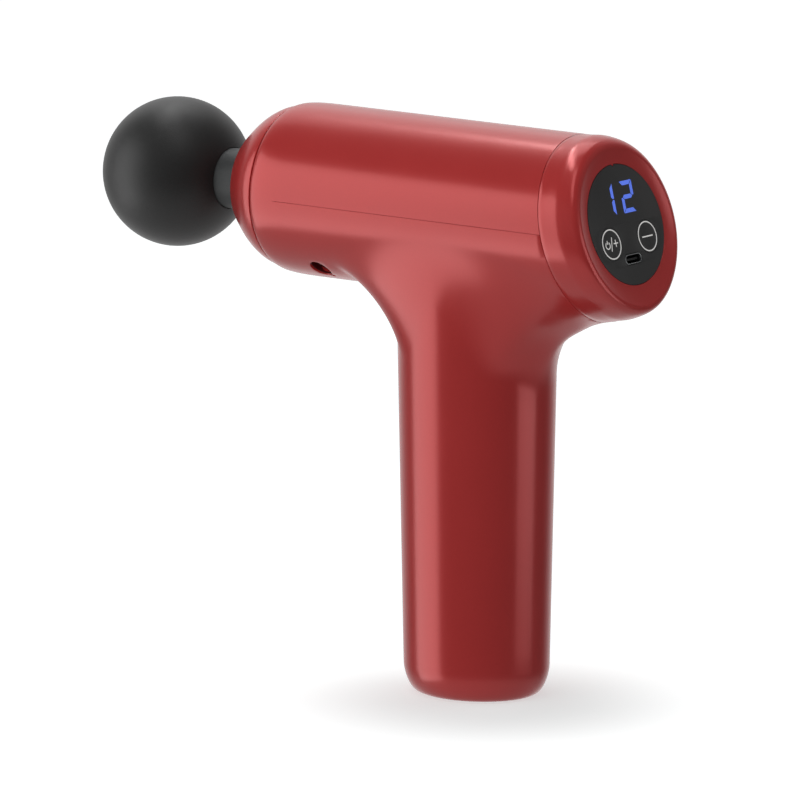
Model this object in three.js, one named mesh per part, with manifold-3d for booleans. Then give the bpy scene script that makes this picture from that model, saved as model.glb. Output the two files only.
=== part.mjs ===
// Percussion massage gun: T-shaped body, ball head on a reciprocating piston,
// brushless motor with an eccentric roller, three cells in the handle and a
// round control panel on the slanted rear cap.
// Millimetres, +Z up, X along the barrel (ball towards -X, panel towards +X),
// origin at the centre of the handle's flat base.
import * as THREE from 'three';
import { mergeVertices, toCreasedNormals } from 'three/addons/utils/BufferGeometryUtils.js';
import ManifoldModule from 'manifold-3d';

const kernel = await ManifoldModule();
kernel.setup();

// ---------------------------------------------------------------- dimensions
const GAP = 0.3; // clearance between neighbouring pieces
const WALL = 2.2; // shell wall

const AXIS_Z = 163; // height of the barrel axis
const BARREL_R = 29;
const FRONT_SEAM_X = -74.85;
const REAR_SEAM_X = 46.3; // on the axis
const REAR_SEAM_LEAN = 12; // degrees, top leans forward
const FACE_LEAN = 16.2; // degrees, rear face looks up

const HANDLE_A = 25.1; // half length of the oval at the base, along X
const HANDLE_B = 22.5; // half width of the oval at the base, along Y
const HANDLE_FLARE = 0.02; // growth of both per mm of height
const BASE_ROUND = 6;
const FLOOR = 3;
const NECK_FRONT_R = 24; // neck fillet towards the ball
const NECK_REAR_R = 38; // neck fillet towards the panel

const PANEL_X = 60.43; // centre of the panel's front face
const PANEL_Z = 164.07;
const PANEL_R = 20.15;
const PANEL_T = 1.8;
const KEY_R = 5.45;
const KEY_AT = [10.1, -5.35]; // across, up on the panel
const USB_UP = -11.5;
const USB_W = 8.94;
const USB_H = 3.26;

const BALL_X = -125.6;
const BALL_R = 25.3;
const BALL_WALL = 4;
const NECK_R = 10.2; // visible grey neck of the head
const SHANK_R = 4.8; // part of the head that plugs into the piston
const SOCKET_R = 5.1;

const MOTOR_X = 4;
const CRANK_THROW = 5; // half of the 10 mm stroke
const ROLLER_R = 6;
const SLOT_HALF_X = 7.4;
const SLOT_HALF_Y = 11.7;
const PISTON_R = 9;
const BUSH_R = 11.3;
const TUBE_R = 14;

const CELL_R = 9.2;
const CELL_H = 65;
const CELL_RING = 10.9;
const CELL_Z = 8.6;

const SCREW_X = -52.4; // recessed screws in the lower flanks
const SCREW_DROP = 53; // degrees below the horizontal

// ------------------------------------------------------------------- helpers
const rad = THREE.MathUtils.degToRad;
const range = (n) => Array.from({ length: n }, (_, i) => i);

// a closed three.js geometry as a solid that can be joined and cut
function solid(geometry) {
  const bare = new THREE.BufferGeometry();
  bare.setAttribute('position', geometry.getAttribute('position').clone());
  if (geometry.index) bare.setIndex(geometry.index.clone());
  const merged = mergeVertices(bare, 1e-4);
  const pos = merged.getAttribute('position');
  const idx = Array.from(merged.index.array);
  const tris = [];
  let volume = 0;
  const [a, b, c] = [new THREE.Vector3(), new THREE.Vector3(), new THREE.Vector3()];
  for (let i = 0; i < idx.length; i += 3) {
    const [p, q, r] = idx.slice(i, i + 3);
    if (p === q || q === r || r === p) continue;
    tris.push([p, q, r]);
    a.fromBufferAttribute(pos, p);
    b.fromBufferAttribute(pos, q);
    c.fromBufferAttribute(pos, r);
    volume += a.dot(b.cross(c));
  }
  const order = tris.flatMap(([p, q, r]) => (volume < 0 ? [p, r, q] : [p, q, r]));
  return new kernel.Manifold(new kernel.Mesh({
    numProp: 3,
    vertProperties: new Float32Array(pos.array),
    triVerts: new Uint32Array(order),
  }));
}

const join = (...parts) => parts.reduce((sum, p) => sum.add(p));
const cut = (body, ...tools) => tools.reduce((rest, t) => rest.subtract(t), body);

const box = (x0, x1, y0, y1, z0, z1) => solid(
  new THREE.BoxGeometry(x1 - x0, y1 - y0, z1 - z0)
    .translate((x0 + x1) / 2, (y0 + y1) / 2, (z0 + z1) / 2));

// closed profile of [radius, height] turned about +Z, at x, y
function turned(profile, segs = 32, x = 0, y = 0) {
  const pts = [...profile, profile[0]].map(([r, h]) => new THREE.Vector2(r, h));
  return solid(new THREE.LatheGeometry(pts, segs).rotateX(Math.PI / 2).translate(x, y, 0));
}

// closed profile of [radius, x] turned about the barrel axis
function turnedX(profile, segs = 48) {
  const pts = [...profile, profile[0]].map(([r, h]) => new THREE.Vector2(r, h));
  return solid(new THREE.LatheGeometry(pts, segs).rotateZ(-Math.PI / 2).translate(0, 0, AXIS_Z));
}

const tubeProfile = (r0, r1, h0, h1) => [[r0, h0], [r1, h0], [r1, h1], [r0, h1]];
const post = (r, z0, z1, x = 0, y = 0, segs = 24) => turned(tubeProfile(0, r, z0, z1), segs, x, y);
const pipe = (r0, r1, z0, z1, x = 0, y = 0, segs = 32) =>
  turned(tubeProfile(r0, r1, z0, z1), segs, x, y);
const rodX = (r, x0, x1, segs = 32) => turnedX(tubeProfile(0, r, x0, x1), segs);
const pipeX = (r0, r1, x0, x1, segs = 48) => turnedX(tubeProfile(r0, r1, x0, x1), segs);

// flat outline pulled up along +Z
function slab(shape, z0, z1, curve = 8) {
  const opts = { depth: z1 - z0, bevelEnabled: false, curveSegments: curve };
  return solid(new THREE.ExtrudeGeometry(shape, opts).translate(0, 0, z0));
}

function oval(a, b) {
  const s = new THREE.Shape();
  s.absellipse(0, 0, a, b, 0, 2 * Math.PI);
  return s;
}

// outline with rounded corners (a slot when r is half the height)
function rounded(w, h, r) {
  const s = new THREE.Shape();
  const [x, y] = [w / 2, h / 2];
  s.moveTo(-x + r, -y);
  s.lineTo(x - r, -y).absarc(x - r, -y + r, r, -Math.PI / 2, 0);
  s.lineTo(x, y - r).absarc(x - r, y - r, r, 0, Math.PI / 2);
  s.lineTo(-x + r, y).absarc(-x + r, y - r, r, Math.PI / 2, Math.PI);
  s.lineTo(-x, -y + r).absarc(-x + r, -y + r, r, Math.PI, 1.5 * Math.PI);
  return s;
}

// place a solid modelled in a local frame (columns of the matrix are its axes)
const place = (body, m) => body.transform(m.elements);

// panel frame: local x across (+Y), local y up the slanted face, local z outward
const lean = rad(FACE_LEAN);
const panelFrame = new THREE.Matrix4().makeBasis(
  new THREE.Vector3(0, 1, 0),
  new THREE.Vector3(-Math.sin(lean), 0, Math.cos(lean)),
  new THREE.Vector3(Math.cos(lean), 0, Math.sin(lean)),
).setPosition(PANEL_X, 0, PANEL_Z);

// radial frame on the barrel: local z points outward from the axis
function flankFrame(x, dropDeg, side) {
  const t = rad(dropDeg);
  const out = new THREE.Vector3(0, side * Math.cos(t), -Math.sin(t));
  const along = new THREE.Vector3(1, 0, 0);
  const across = new THREE.Vector3().crossVectors(out, along);
  return new THREE.Matrix4().makeBasis(along, across, out).setPosition(x, 0, AXIS_Z);
}

// ----------------------------------------------------------- T-shaped volume
// The neck is a rolling fillet: at each angle round the handle a ball of radius
// R touches both the handle wall and the barrel.
function handleWithNeck(inset, floor) {
  const segs = 44;
  const roundSteps = 3;
  const arcSteps = 6;
  const round = Math.max(BASE_ROUND - inset, 0.8);
  const rings = [];
  const ring = (fn) => rings.push(range(segs).map((i) => fn((i / segs) * 2 * Math.PI)));
  const wall = (t, z, shrink = 0) => {
    const grow = HANDLE_FLARE * z - inset - shrink;
    return [(HANDLE_A + grow) * Math.cos(t), (HANDLE_B + grow) * Math.sin(t), z];
  };
  for (const i of range(roundSteps + 1)) {
    const u = (i / roundSteps) * Math.PI / 2;
    ring((t) => wall(t, floor + round * (1 - Math.cos(u)), round * (1 - Math.sin(u))));
  }
  const fillet = (t) => {
    const share = 0.5 * (1 + Math.cos(t));
    const r = NECK_FRONT_R + (NECK_REAR_R - NECK_FRONT_R) * share;
    const top = 110;
    const a = HANDLE_A + HANDLE_FLARE * top;
    const b = HANDLE_B + HANDLE_FLARE * top;
    const n = new THREE.Vector3(Math.cos(t) / a, Math.sin(t) / b, 0).normalize();
    const c = new THREE.Vector3(a * Math.cos(t), b * Math.sin(t), 0).addScaledVector(n, r);
    const reach = BARREL_R + r;
    c.z = -Math.sqrt(reach * reach - c.y * c.y);
    const up = new THREE.Vector3(0, -c.y, -c.z).normalize();
    return { c, n, up, r: r + inset, open: n.clone().negate().angleTo(up) };
  };
  const onArc = (t, s) => {
    const { c, n, up, r, open } = fillet(t);
    const k0 = Math.sin((1 - s) * open) / Math.sin(open);
    const k1 = Math.sin(s * open) / Math.sin(open);
    return [c.x + r * (-n.x * k0 + up.x * k1), c.y + r * (-n.y * k0 + up.y * k1),
      AXIS_Z + c.z + r * up.z * k1];
  };
  for (const f of [0.5, 0.97]) {
    ring((t) => wall(t, floor + round + f * (onArc(t, 0)[2] - floor - round)));
  }
  for (const i of range(arcSteps)) ring((t) => onArc(t, (i + 1) / arcSteps));
  ring((t) => {
    const [x, y, z] = onArc(t, 1);
    return [x * 0.99, y * 0.9, z + 0.1 * (AXIS_Z - z)];
  });
  ring((t) => {
    const [x, y] = onArc(t, 1);
    return [x * 0.7, y * 0.5, AXIS_Z];
  });
  const points = rings.flat();
  const index = [];
  for (const j of range(rings.length - 1)) {
    for (const i of range(segs)) {
      const [p, q] = [j * segs + i, j * segs + ((i + 1) % segs)];
      index.push(p, q, q + segs, p, q + segs, p + segs);
    }
  }
  const last = (rings.length - 1) * segs;
  points.push([0, 0, floor], [0, 0, AXIS_Z]);
  for (const i of range(segs)) {
    const k = (i + 1) % segs;
    index.push(points.length - 2, k, i, points.length - 1, last + i, last + k);
  }
  const g = new THREE.BufferGeometry();
  g.setAttribute('position', new THREE.Float32BufferAttribute(points.flat(), 3));
  g.setIndex(index);
  return solid(g);
}

const outerBarrel = turnedX([
  [0, -74.7], [26.9, -74.7], [27.7, -73.7], [28.25, -72], [28.6, -69.6], [28.9, -66.5],
  [BARREL_R, -62], [BARREL_R, 80], [0, 80],
], 56);
const outerVolume = join(outerBarrel, handleWithNeck(0, 0));
const innerVolume = join(
  turnedX(tubeProfile(0, BARREL_R - WALL, -76, 80), 40), handleWithNeck(WALL, FLOOR));

// everything behind the slanted rear seam, shifted along X
function behindSeam(shift) {
  const block = new THREE.BoxGeometry(120, 120, 160).translate(60, 0, 0);
  return solid(block.rotateY(-rad(REAR_SEAM_LEAN)).translate(REAR_SEAM_X + shift, 0, AXIS_Z));
}

// turned about the barrel axis, then sheared so that its rings lean with the rear face
function leaning(profile, segs) {
  const pts = [...profile, profile[0]].map(([r, h]) => new THREE.Vector2(r, h));
  const g = new THREE.LatheGeometry(pts, segs).rotateZ(-Math.PI / 2);
  const p = g.getAttribute('position');
  for (const i of range(p.count)) {
    const t = THREE.MathUtils.clamp((p.getX(i) - REAR_SEAM_X) / 14, 0, 1);
    const shear = Math.tan(rad(THREE.MathUtils.lerp(REAR_SEAM_LEAN, FACE_LEAN, t)));
    p.setX(i, p.getX(i) - p.getZ(i) * shear);
  }
  return solid(g.translate(0, 0, AXIS_Z));
}

// --------------------------------------------------------------------- parts
const parts = [];
const add = (name, body, material) => parts.push([name, body, material]);

const paint = { color: 0x93302e, roughness: 0.38, metalness: 0.25 };
const collarRed = { color: 0x6e1716, roughness: 0.5 };
const black = { color: 0x2c2d2e, roughness: 0.6 };
const panelBlack = { color: 0x2b2b2c, roughness: 0.35 };
const grey = { color: 0x3c4142, roughness: 0.55 };
const nylon = { color: 0x2f3336, roughness: 0.7 };
const pom = { color: 0xdad8cf, roughness: 0.5 };
const steel = { color: 0xb9bcc0, roughness: 0.3, metalness: 1 };
const alloy = { color: 0xc3c6c9, roughness: 0.4, metalness: 1 };
const copper = { color: 0xb06a35, roughness: 0.35, metalness: 1 };
const magnet = { color: 0x55585c, roughness: 0.4, metalness: 1 };
const boardGreen = { color: 0x1f5a38, roughness: 0.5 };
const wrapBlue = { color: 0x2f6fb0, roughness: 0.45 };
const leadRed = { color: 0xb3201f, roughness: 0.5 };

// shells: screw cups hang inside the lower shell
let lower = cut(outerVolume, innerVolume);
for (const side of [-1, 1]) {
  const frame = flankFrame(SCREW_X, SCREW_DROP, side);
  lower = join(lower, place(post(5.2, 20, 28, 0, 0, 16), frame));
  lower = cut(lower, place(post(3.65, 21.8, 31, 0, 0, 20), frame),
    place(post(1.8, 19, 23, 0, 0, 12), frame));
}
lower = cut(lower, place(post(0.75, 24, 31, 0, 0, 8), flankFrame(-49.8, 62.7, -1)));
const shells = cut(lower, behindSeam(-GAP / 2));
add('body_shell', shells.intersect(box(-90, 90, -60, 60, -5, AXIS_Z - GAP / 2)), paint);
add('top_cover', shells.intersect(box(-90, 90, -60, 60, AXIS_Z + GAP / 2, 220)), paint);

// nose: domed ring with a spigot that enters the shells
add('nose_cap', turnedX([
  [26.9, -75.0], [25.4, -78.6], [24.3, -81.2], [22.4, -84.7], [19.8, -88.1], [18.2, -89.8],
  [17.2, -90.3], [16.2, -90.3], [16.2, -87.6], [20, -84], [24.4, -75], [24.4, -70],
  [26.5, -70], [26.5, -75.0],
], 44), paint);
add('nose_collar', turnedX([
  [11.4, -92.8], [14.9, -92.8], [15.9, -91.6], [15.9, -87.2], [17, -85.8], [11.4, -84.2],
], 36), collarRed);

// rear cap: rounded edge, shallow dish round the panel, spigot towards the shells
const capEnvelope = leaning([
  [0, 20], [31.9, 20], [31.7, 46.5], [29.6, 55.4], [28.9, 57.8], [27.7, 59.9], [26.4, 61.2],
  [25.3, 61.6], [23.8, 61.3], [21.4, 60.74], [0, 60.74],
], 56);
const capHollow = leaning([[0, 20], [26.6, 20], [26.6, 53.8], [24.6, 57.1], [0, 57.9]], 36);
const capRing = cut(outerVolume.intersect(behindSeam(GAP / 2)).intersect(capEnvelope), capHollow);
const spigot = leaning([[24.6, 43], [26.5, 43], [26.5, 50], [26.9, 51], [24.6, 51]], 36);
const pocket = place(post(PANEL_R + GAP, -PANEL_T - GAP, 6, 0, 0, 48), panelFrame);
const window = place(post(17.6, -12, 6, 0, 0, 32), panelFrame);
add('rear_cap', cut(join(capRing, spigot), pocket, window), paint);

// control panel with two key holes and the port slot
const onPanel = (x, y, body) => place(body, panelFrame.clone().multiply(
  new THREE.Matrix4().makeTranslation(x, y, 0)));
const [keyX, keyY] = KEY_AT;
let panel = place(turned([
  [0, -PANEL_T], [PANEL_R, -PANEL_T], [PANEL_R, -0.2], [PANEL_R - 0.2, 0], [0, 0],
], 48), panelFrame);
for (const side of [-1, 1]) {
  panel = cut(panel, onPanel(side * keyX, keyY, post(KEY_R + GAP, -4, 2, 0, 0, 24)));
}
panel = cut(panel, onPanel(0, USB_UP, slab(rounded(USB_W + 0.7, USB_H + 0.7, 1.97), -4, 2, 5)));
add('control_panel', panel, panelBlack);

for (const [name, side] of [['power_plus', -1], ['minus', 1]]) {
  add(`${name}_key`, onPanel(side * keyX, keyY, turned([
    [0, -3.6], [1.6, -3.6], [1.6, -PANEL_T], [KEY_R, -PANEL_T], [KEY_R, -0.15],
    [KEY_R - 0.15, 0], [0, 0],
  ], 24)), panelBlack);
  add(`${name}_switch`, onPanel(side * keyX, keyY, join(
    slab(rounded(6, 6, 0.4), -6, -4.9, 2), post(1.7, -5, -4.4, 0, 0, 16))), black);
}

// port: shell, insulator with its tongue
add('usb_shell', onPanel(0, USB_UP, cut(
  slab(rounded(USB_W, USB_H, 1.62), -5.8, -0.1, 4),
  slab(rounded(USB_W - 0.6, USB_H - 0.6, 1.32), -7, 1, 4))), steel);
add('usb_tongue', onPanel(0, USB_UP, join(
  slab(rounded(7.8, 2.1, 1), -5.8, -4.6, 2),
  slab(rounded(6.7, 0.7, 0.3), -4.8, -0.9, 1))), black);

add('display_module', onPanel(0, 8.9, slab(rounded(17, 11.6, 0.6), -5.7, -2.2, 2)), grey);
add('control_pcb', place(post(17.2, -7.4, -6.2, 0, 0, 40), panelFrame), boardGreen);

// driver board across the barrel behind the motor, with its parts
const board = cut(rodX(24.6, 35, 36.6, 48), box(30, 40, -30, 30, 100, 143));
add('driver_board', board, boardGreen);
add('driver_capacitor', turned([[0, -7], [4, -7], [4, 7], [0, 7]], 20)
  .transform(new THREE.Matrix4().makeRotationX(Math.PI / 2).setPosition(40.9, 0, 177).elements),
nylon);
add('battery_connector', box(36.9, 42.6, -13, -4, 150, 156), pom);
add('motor_connector', box(36.9, 41.4, 4, 14, 150, 156), pom);

// massage head
const neckHole = rodX(NECK_R + GAP, BALL_X + 12, -90, 30);
add('ball_head', cut(
  solid(new THREE.SphereGeometry(BALL_R, 36, 20).rotateZ(Math.PI / 2).translate(BALL_X, 0, AXIS_Z)),
  solid(new THREE.SphereGeometry(BALL_R - BALL_WALL, 20, 10).rotateZ(Math.PI / 2)
    .translate(BALL_X, 0, AXIS_Z)), neckHole), black);
const stem = turnedX([
  [0, -114.5], [15, -114.5], [15, -112], [NECK_R, -110], [NECK_R, -86.6], [NECK_R - 0.8, -85.8],
  [SHANK_R, -85.8], [SHANK_R, -79.1], [3.5, -79.1], [3.5, -76.7], [SHANK_R, -76.7],
  [SHANK_R, -70.1], [3.5, -70.1], [3.5, -67.7], [SHANK_R, -67.7], [SHANK_R, -63], [3.8, -62],
  [0, -62],
], 26);
add('head_stem', stem, grey);
for (const [name, x] of [['front', -77.9], ['rear', -68.9]]) {
  add(`stem_oring_${name}`, solid(new THREE.TorusGeometry(4.45, 0.55, 6, 20)
    .rotateY(Math.PI / 2).translate(x, 0, AXIS_Z)), black);
}

// piston: socket for the head, rod, and a yoke with a cross slot for the roller
const yokeX = (x) => MOTOR_X + x;
const yoke = cut(
  slab(rounded(2 * (SLOT_HALF_X + 4), 2 * (SLOT_HALF_Y + 3.8), 4), AXIS_Z - 6, AXIS_Z + 6, 4)
    .translate([MOTOR_X, 0, 0]),
  slab(rounded(2 * SLOT_HALF_X, 2 * SLOT_HALF_Y, SLOT_HALF_X - 0.01), AXIS_Z - 8, AXIS_Z + 8, 8)
    .translate([MOTOR_X, 0, 0]));
const rod = turnedX([
  [SOCKET_R, -85], [PISTON_R - 0.5, -85], [PISTON_R, -84.5], [PISTON_R, -49], [5.5, -46],
  [5.5, yokeX(-SLOT_HALF_X - 2)], [0, yokeX(-SLOT_HALF_X - 2)], [0, -58], [SOCKET_R, -60],
], 28);
add('piston', join(rod, yoke), alloy);
add('guide_bush', pipeX(PISTON_R + GAP, BUSH_R, -80, -48, 28), pom);
add('front_damper', pipeX(TUBE_R + GAP, BARREL_R - WALL - GAP, -65, -60.5, 36), black);

// drive frame: guide tube, side rails, deck over the motor, feet for the screws
let frame = join(
  rodX(TUBE_R, -80, -42, 32),
  box(-46.4, -20, -13.4, -10, 143, 169),
  box(-46.4, -20, 10, 13.4, 143, 169),
  slab(rounded(60, 29.2, 6), 141, 145, 4).translate([2, 0, 0]));
for (const side of [-1, 1]) {
  const f = flankFrame(SCREW_X, SCREW_DROP, side);
  frame = join(frame, place(post(4.4, 12.2, 19.7, 0, 0, 14), f));
  frame = cut(frame, place(post(1.8, 12, 22, 0, 0, 12), f));
}
frame = cut(frame, rodX(BUSH_R + GAP, -82, -40, 28), post(8, 139, 147, MOTOR_X, 0, 24));
const motorScrewAt = (i) => {
  const t = rad(90 + 120 * i);
  return [MOTOR_X + 12 * Math.cos(t), 12 * Math.sin(t)];
};
for (const i of range(3)) frame = cut(frame, post(1.8, 139, 147, ...motorScrewAt(i), 10));
add('drive_frame', frame, nylon);

for (const [name, side] of [['near', -1], ['far', 1]]) {
  const screw = cut(
    turned([[0, 13.2], [1.5, 13.2], [1.5, 22.1], [2.8, 22.1], [2.8, 23.6], [2.3, 24], [0, 24]], 14),
    box(-1.6, 1.6, -0.45, 0.45, 23, 25), box(-0.45, 0.45, -1.6, 1.6, 23, 25));
  add(`frame_screw_${name}`, place(screw, flankFrame(SCREW_X, SCREW_DROP, side)), steel);
}

// crank on the motor shaft; at mid-stroke the pin stands across the barrel
const crankBody = join(
  post(14, 148.6, 152.4, MOTOR_X, 0, 40), post(5, 145.5, 149, MOTOR_X, 0, 24),
  pipe(7.5, 14, 152, 155.8, MOTOR_X, 0, 40).intersect(box(-10, 30, -20, -2, 150, 160)));
add('crank_disc', cut(crankBody, post(2.8, 144, 148.7, MOTOR_X, 0, 20),
  post(3.3, 149.3, 158, MOTOR_X, CRANK_THROW, 24)), steel);
add('crank_pin', join(
  post(3, 149.6, 169.2, MOTOR_X, CRANK_THROW, 24), post(4.4, 168, 169.2, MOTOR_X, CRANK_THROW, 24)),
steel);
add('crank_roller', pipe(3.3, ROLLER_R, 158.6, 167.4, MOTOR_X, CRANK_THROW, 32), steel);

// brushless motor: the bell turns round the wound stator
add('motor_shaft', post(2.5, 118.2, 148.4, MOTOR_X, 0, 20), steel);
add('rotor_bell', cut(
  turned([
    [2.8, 118.4], [18.9, 118.4], [20, 119.5], [20, 136.6], [18.7, 136.6], [18.7, 120.6],
    [6.4, 120.6], [5.4, 122], [2.8, 122],
  ], 36, MOTOR_X),
  ...range(6).map((i) => post(3.2, 117, 122, MOTOR_X + 12 * Math.cos(rad(60 * i)),
    12 * Math.sin(rad(60 * i)), 10))), steel);
add('magnet_ring', pipe(16.5, 18.4, 123, 135, MOTOR_X, 0, 36), magnet);
let base = cut(join(pipe(5.8, 16.4, 137.6, 140.7, MOTOR_X, 0, 32),
  pipe(5.8, 7, 123.2, 138, MOTOR_X, 0, 24)));
for (const i of range(3)) base = cut(base, post(1.8, 136, 142, ...motorScrewAt(i), 10));
add('motor_base', base, alloy);
add('motor_bearing_lower', pipe(2.8, 5.5, 123.6, 127.6, MOTOR_X, 0, 24), steel);
add('motor_bearing_upper', pipe(2.8, 5.5, 133.4, 137.4, MOTOR_X, 0, 24), steel);
for (const i of range(3)) {
  const [x, y] = motorScrewAt(i);
  add(`motor_screw_${i + 1}`, turned([
    [0, 138], [1.5, 138], [1.5, 145.3], [2.75, 145.3], [2.75, 147.2], [0, 147.2],
  ], 12, x, y), steel);
}

const TEETH = 9;
const wedge = slab(new THREE.Shape([[0, 0], [20, -5.4], [20, 5.4]]
  .map((p) => new THREE.Vector2(...p))), 122, 136);
let core = pipe(7.3, 9.2, 124, 134.4, MOTOR_X, 0, 36);
for (const i of range(TEETH)) {
  const turn = new THREE.Matrix4().makeRotationZ(rad(i * 360 / TEETH)).setPosition(MOTOR_X, 0, 0);
  const shoe = pipe(14.2, 16.1, 124, 134.4, 0, 0, 48).intersect(wedge);
  core = join(core, place(box(9, 14.8, -1.4, 1.4, 124, 134.4), turn), place(shoe, turn));
  add(`stator_coil_${i + 1}`, place(cut(
    slab(rounded(4.2, 5.5, 0.8), 122.4, 136, 1).translate([11.7, 0, 0]),
    box(9, 15.4, -1.7, 1.7, 123.7, 134.7)), turn), copper);
}
add('stator_core', core, magnet);

// battery pack: three upright cells between two holders, links and leads
const cellAt = (i) => [CELL_RING * Math.cos(rad(120 * i)), CELL_RING * Math.sin(rad(120 * i))];
for (const i of range(3)) {
  const top = CELL_Z + CELL_H;
  add(`cell_${i + 1}`, turned([
    [0, CELL_Z], [CELL_R - 0.5, CELL_Z], [CELL_R, CELL_Z + 0.5], [CELL_R, top - 1.4],
    [CELL_R - 0.7, top - 0.9], [3.2, top - 0.9], [3.2, top], [0, top],
  ], 22, ...cellAt(i)), wrapBlue);
}
const cups = (z0, z1) => range(3).map((i) => post(CELL_R + GAP, z0, z1, ...cellAt(i), 22));
add('cell_holder_bottom', cut(slab(oval(21.9, 19.6), 5.2, 11.6, 14), ...cups(8.3, 14)), nylon);
add('cell_holder_top', cut(slab(oval(23.2, 20.9), 70.2, 76.6, 14), ...cups(69, 73.9),
  ...range(3).map((i) => post(4, 73, 78, ...cellAt(i), 10))), nylon);

const lead = (points) => {
  const path = new THREE.CatmullRomCurve3(points.map((p) => new THREE.Vector3(...p)), false,
    'centripetal');
  const section = new THREE.Shape(range(6).map((i) => new THREE.Vector2(
    0.9 * Math.cos(rad(60 * i)), 0.9 * Math.sin(rad(60 * i)))));
  return solid(new THREE.ExtrudeGeometry(section, {
    steps: 16, bevelEnabled: false, extrudePath: path,
  }));
};
for (const [name, side, tone] of [['red', -1, leadRed], ['black', 1, black]]) {
  add(`battery_lead_${name}`, lead([
    [14, 2.4 * side, 77.2], [19, 3 * side, 84], [21.4, 3 * side, 98], [24.2, 3 * side, 110],
    [28.6, 3 * side - 1, 120], [34.6, 2 * side - 4, 131], [38.8, 2 * side - 7, 140],
    [39.4, 2 * side - 8.4, 149.4],
  ]), tone);
}

// ------------------------------------------------------------------ assembly
const group = new THREE.Group();
group.name = 'massage_gun';
for (const [name, body, look] of parts) {
  const { vertProperties, triVerts } = body.getMesh();
  const g = new THREE.BufferGeometry();
  g.setAttribute('position', new THREE.BufferAttribute(new Float32Array(vertProperties), 3));
  g.setIndex(new THREE.BufferAttribute(new Uint32Array(triVerts), 1));
  const mesh = new THREE.Mesh(
    toCreasedNormals(g, rad(28)), new THREE.MeshStandardMaterial({ name, ...look }));
  mesh.name = name;
  group.add(mesh);
}

export default group;
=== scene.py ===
from math import asin, atan2, cos, hypot, pi, radians, sin, sqrt, tan

import bpy
import bmesh
from mathutils import Matrix, Vector, geometry
from mathutils.bvhtree import BVHTree


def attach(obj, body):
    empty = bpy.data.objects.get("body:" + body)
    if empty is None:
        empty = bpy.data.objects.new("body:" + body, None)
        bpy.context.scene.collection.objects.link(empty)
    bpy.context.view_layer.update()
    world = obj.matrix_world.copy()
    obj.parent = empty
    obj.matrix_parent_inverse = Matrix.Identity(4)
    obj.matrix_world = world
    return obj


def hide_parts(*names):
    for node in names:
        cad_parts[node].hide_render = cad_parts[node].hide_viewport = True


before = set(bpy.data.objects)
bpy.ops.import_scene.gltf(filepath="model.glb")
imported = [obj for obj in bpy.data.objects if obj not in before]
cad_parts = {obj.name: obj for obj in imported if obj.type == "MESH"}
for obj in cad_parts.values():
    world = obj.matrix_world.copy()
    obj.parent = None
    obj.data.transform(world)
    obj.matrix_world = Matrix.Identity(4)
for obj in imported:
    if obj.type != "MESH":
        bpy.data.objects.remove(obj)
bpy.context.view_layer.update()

# ------------------------------------------------------------------ dimensions (mm and degrees)
MM = 0.001
WELD, SKIN_WELD = 2e-6, 0.004  # metres, mm; closer points are one

AXIS_Z = 163.0                 # height of the barrel's axis
BARREL_R = 29.0
WALL = 2.2
# (x, radius) of the rounded front end of the barrel
SHOULDER = [(-73.85, 27.72), (-73.7, 27.92), (-73.3, 28.12), (-72.5, 28.36), (-71.3, 28.58),
            (-69.5, 28.76), (-67.3, 28.89), (-64.5, 28.97), (-61, BARREL_R)]

HANDLE_A, HANDLE_B = 25.1, 22.5  # half length along X and half width of the oval at the base
FLARE = 0.02                   # growth of both per mm of height
# (inset, height) of the handle's bottom edge
BASE_EDGE = [(4.6, 0), (3.75, 0.4), (2.8, 1.2), (1.9, 2.5), (1.15, 4.1), (0.5, 6.2), (0.13, 8.2), (0, 10)]
NECK_FRONT_R, NECK_SIDE_R, NECK_REAR_R = 15.5, 95.0, 31.5  # fillet between handle and barrel
FULLER, FULLER_HALF = 3.0, 72.0  # the underside behind the handle: how much, and how far round
FULLER_FROM, FULLER_TO = 28, 43  # it grows between these two x, and fades a little between the next two
FULLER_FADE, FADE_FROM, FADE_TO = 0.4, 50, 60

SEAM_X, SEAM_LEAN = 46.3, 12.0  # rear seam on the axis; its top leans forward
FACE_LEAN = 16.2               # the cap's face looks up
SEAM_GAP = 0.07                # half the side seam, and the shell's step back at the rear seam
SPLIT_FRONT_X, SPLIT_TAPER = -63.6, 0.9  # the side seam is closed ahead of this, and opens over this
RIM_ROUND = 0.13               # rounding of seams and hole rims

SCREW_X, SCREW_DROP = -52.2, 54.0  # holes in the lower flanks, degrees below the horizontal
HOLE_R, HOLE_TALL = 3.65, 1.25
PIN_X, PIN_DROP, PIN_R = -49.8, 62.7, 0.85

PANEL_O = Vector((60.3, 0.0, 164.07))  # centre of the panel's front face
PANEL_R = 20.15
NOTCH = 1.3
KEY_X, KEY_Y, KEY_R = 10.1, -5.35, 5.45
USB_Y, USB_W, USB_H = -11.5, 8.94, 3.26
PRINT_T, DIGIT_T = 0.03, 0.025  # printed ink and lit digits stand this proud
LINE = 0.36                    # stroke of the symbols

SEG_W, SLIT = 1.42, 0.16       # stroke of a digit's segments and half the gap between them
DIGIT_H, DIGIT_W, DIGIT_Y, DIGIT_LEAN = 10.6, 6.85, 8.9, 3.0

BALL_X, BALL_R, BALL_WALL = -125.6, 25.3, 4.0
NECK_R = 10.2                  # visible grey neck of the head

lean = radians(FACE_LEAN)
PANEL = Matrix((
    (0, -sin(lean), cos(lean), PANEL_O.x),
    (1, 0, 0, PANEL_O.y),
    (0, cos(lean), sin(lean), PANEL_O.z),
    (0, 0, 0, 1)))


# ------------------------------------------------------------------ materials
def node(tree, kind, **values):
    """New node with these properties or inputs set."""
    n = tree.nodes.new(kind)
    for key, value in values.items():
        if hasattr(n, key):
            setattr(n, key, value)
        else:
            n.inputs[key.replace("_", " ")].default_value = value
    return n


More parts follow.
